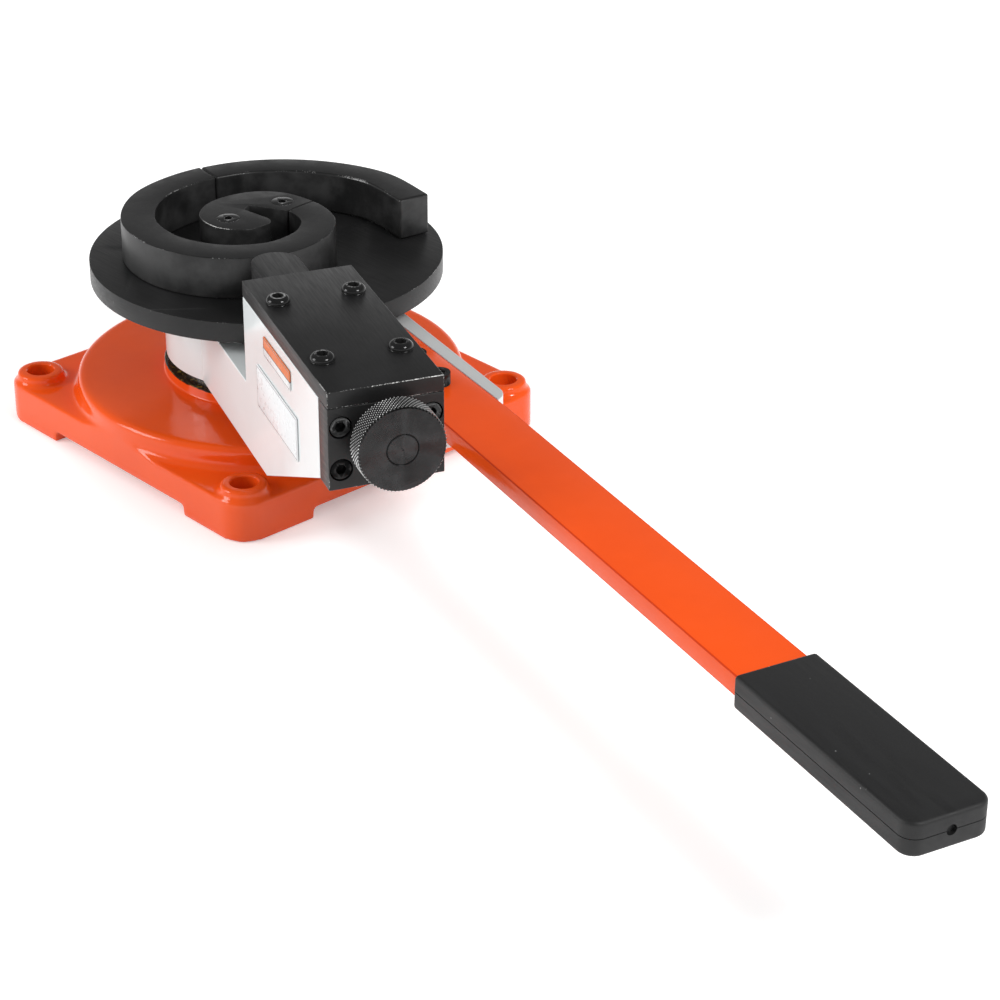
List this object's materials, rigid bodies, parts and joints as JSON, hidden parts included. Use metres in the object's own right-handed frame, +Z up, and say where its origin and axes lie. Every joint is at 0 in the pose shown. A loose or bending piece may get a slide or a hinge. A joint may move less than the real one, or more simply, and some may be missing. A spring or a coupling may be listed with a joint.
{
  "type": "scroll bender",
  "caption": "Bench scroll bender: cast base with bolt ears, round die plate with a segmented scroll former, and a swinging arm with a screw-set pusher bar and a long lever.",
  "frame": {"origin": "where the swing axis meets the bench, on the underside of the base casting's centre pad", "axes": "+Z up along the swing axis; +X and +Y along the sides of the square base, with the arm and lever at rest pointing along +X and a little towards -Y"},
  "size_m": [0.9078, 0.3303, 0.1872],
  "materials": {
    "orange_enamel": "glossy orange machine enamel over cast iron and flat bar",
    "silver_enamel": "pale silver-white enamel over a casting",
    "black_oxide": "blackened steel, satin, worn bright along the edges",
    "black_cast_iron": "blackened cast iron with a fine grain, worn along the edges",
    "bright_steel": "ground bright steel",
    "bronze": "plain bearing bronze",
    "black_rubber": "smooth dull black rubber with a fine moulded seam",
    "label_foil": "thin satin foil plate, blank"
  },
  "bodies": {
    "base": {"base_casting": "orange_enamel", "spindle": "bright_steel", "spindle_screw_1": "black_oxide", "spindle_screw_2": "black_oxide", "spindle_screw_3": "black_oxide", "spindle_screw_4": "black_oxide", "thrust_ring": "bright_steel", "die_plate": "black_oxide", "plate_screw_1": "black_oxide", "plate_screw_2": "black_oxide", "plate_screw_3": "black_oxide", "plate_dowel_1": "bright_steel", "plate_dowel_2": "bright_steel", "centre_eye": "black_cast_iron", "eye_screw_1": "black_oxide", "eye_screw_2": "black_oxide", "middle_dowel_1": "bright_steel", "middle_dowel_2": "bright_steel", "outer_dowel_1": "bright_steel", "outer_dowel_2": "bright_steel"},
    "middle_former": {"middle_segment": "black_cast_iron"},
    "outer_former": {"outer_segment": "black_cast_iron"},
    "swing_arm": {"swing_frame": "silver_enamel", "lower_bush": "bronze", "upper_bush": "bronze", "upper_thrust_ring": "bronze", "cover_plate": "black_oxide", "cover_screw_1": "black_oxide", "cover_screw_2": "black_oxide", "cover_screw_3": "black_oxide", "cover_screw_4": "black_oxide", "end_plate": "black_oxide", "end_plate_screw_1": "black_oxide", "end_plate_screw_2": "black_oxide", "end_plate_screw_3": "black_oxide", "end_plate_screw_4": "black_oxide", "lever_bar": "orange_enamel", "lever_bolt_1": "black_oxide", "lever_bolt_2": "black_oxide", "lever_bolt_3": "black_oxide", "lever_grip": "black_rubber", "lower_label": "label_foil", "upper_label": "label_foil"},
    "pusher": {"pusher_bar": "black_oxide", "retaining_pin_1": "bright_steel", "retaining_pin_2": "bright_steel"},
    "screw_and_knob": {"lead_screw": "black_oxide", "knob": "black_oxide", "knob_set_screw": "black_oxide"}
  },
  "joints": [
    {"name": "arm_swing", "type": "hinge", "parent": "base", "child": "swing_arm", "pos_m": [0, 0, 0.085], "axis": [0, 0, 1], "range_deg": [-20, 82]},
    {"name": "pusher_slide", "type": "slide", "parent": "swing_arm", "child": "pusher", "axis": [0.9288, -0.3706, 0], "range_m": [-0.003, 0.036]},
    {"name": "knob_turn", "type": "hinge", "parent": "pusher", "child": "screw_and_knob", "pos_m": [0.32065, -0.1543, 0.1522], "axis": [0.9288, -0.3706, 0], "range_deg": [-270, 3240]},
    {"name": "middle_segment_lift", "type": "slide", "parent": "base", "child": "middle_former", "axis": [0, 0, 1], "range_m": [0, 0.04]},
    {"name": "outer_segment_lift", "type": "slide", "parent": "base", "child": "outer_former", "axis": [0, 0, 1], "range_m": [0, 0.04]}
  ],
  "couplings": [
    {"joint": "pusher_slide", "follows": "knob_turn", "m_per_rad": 0.00063661}
  ]
}
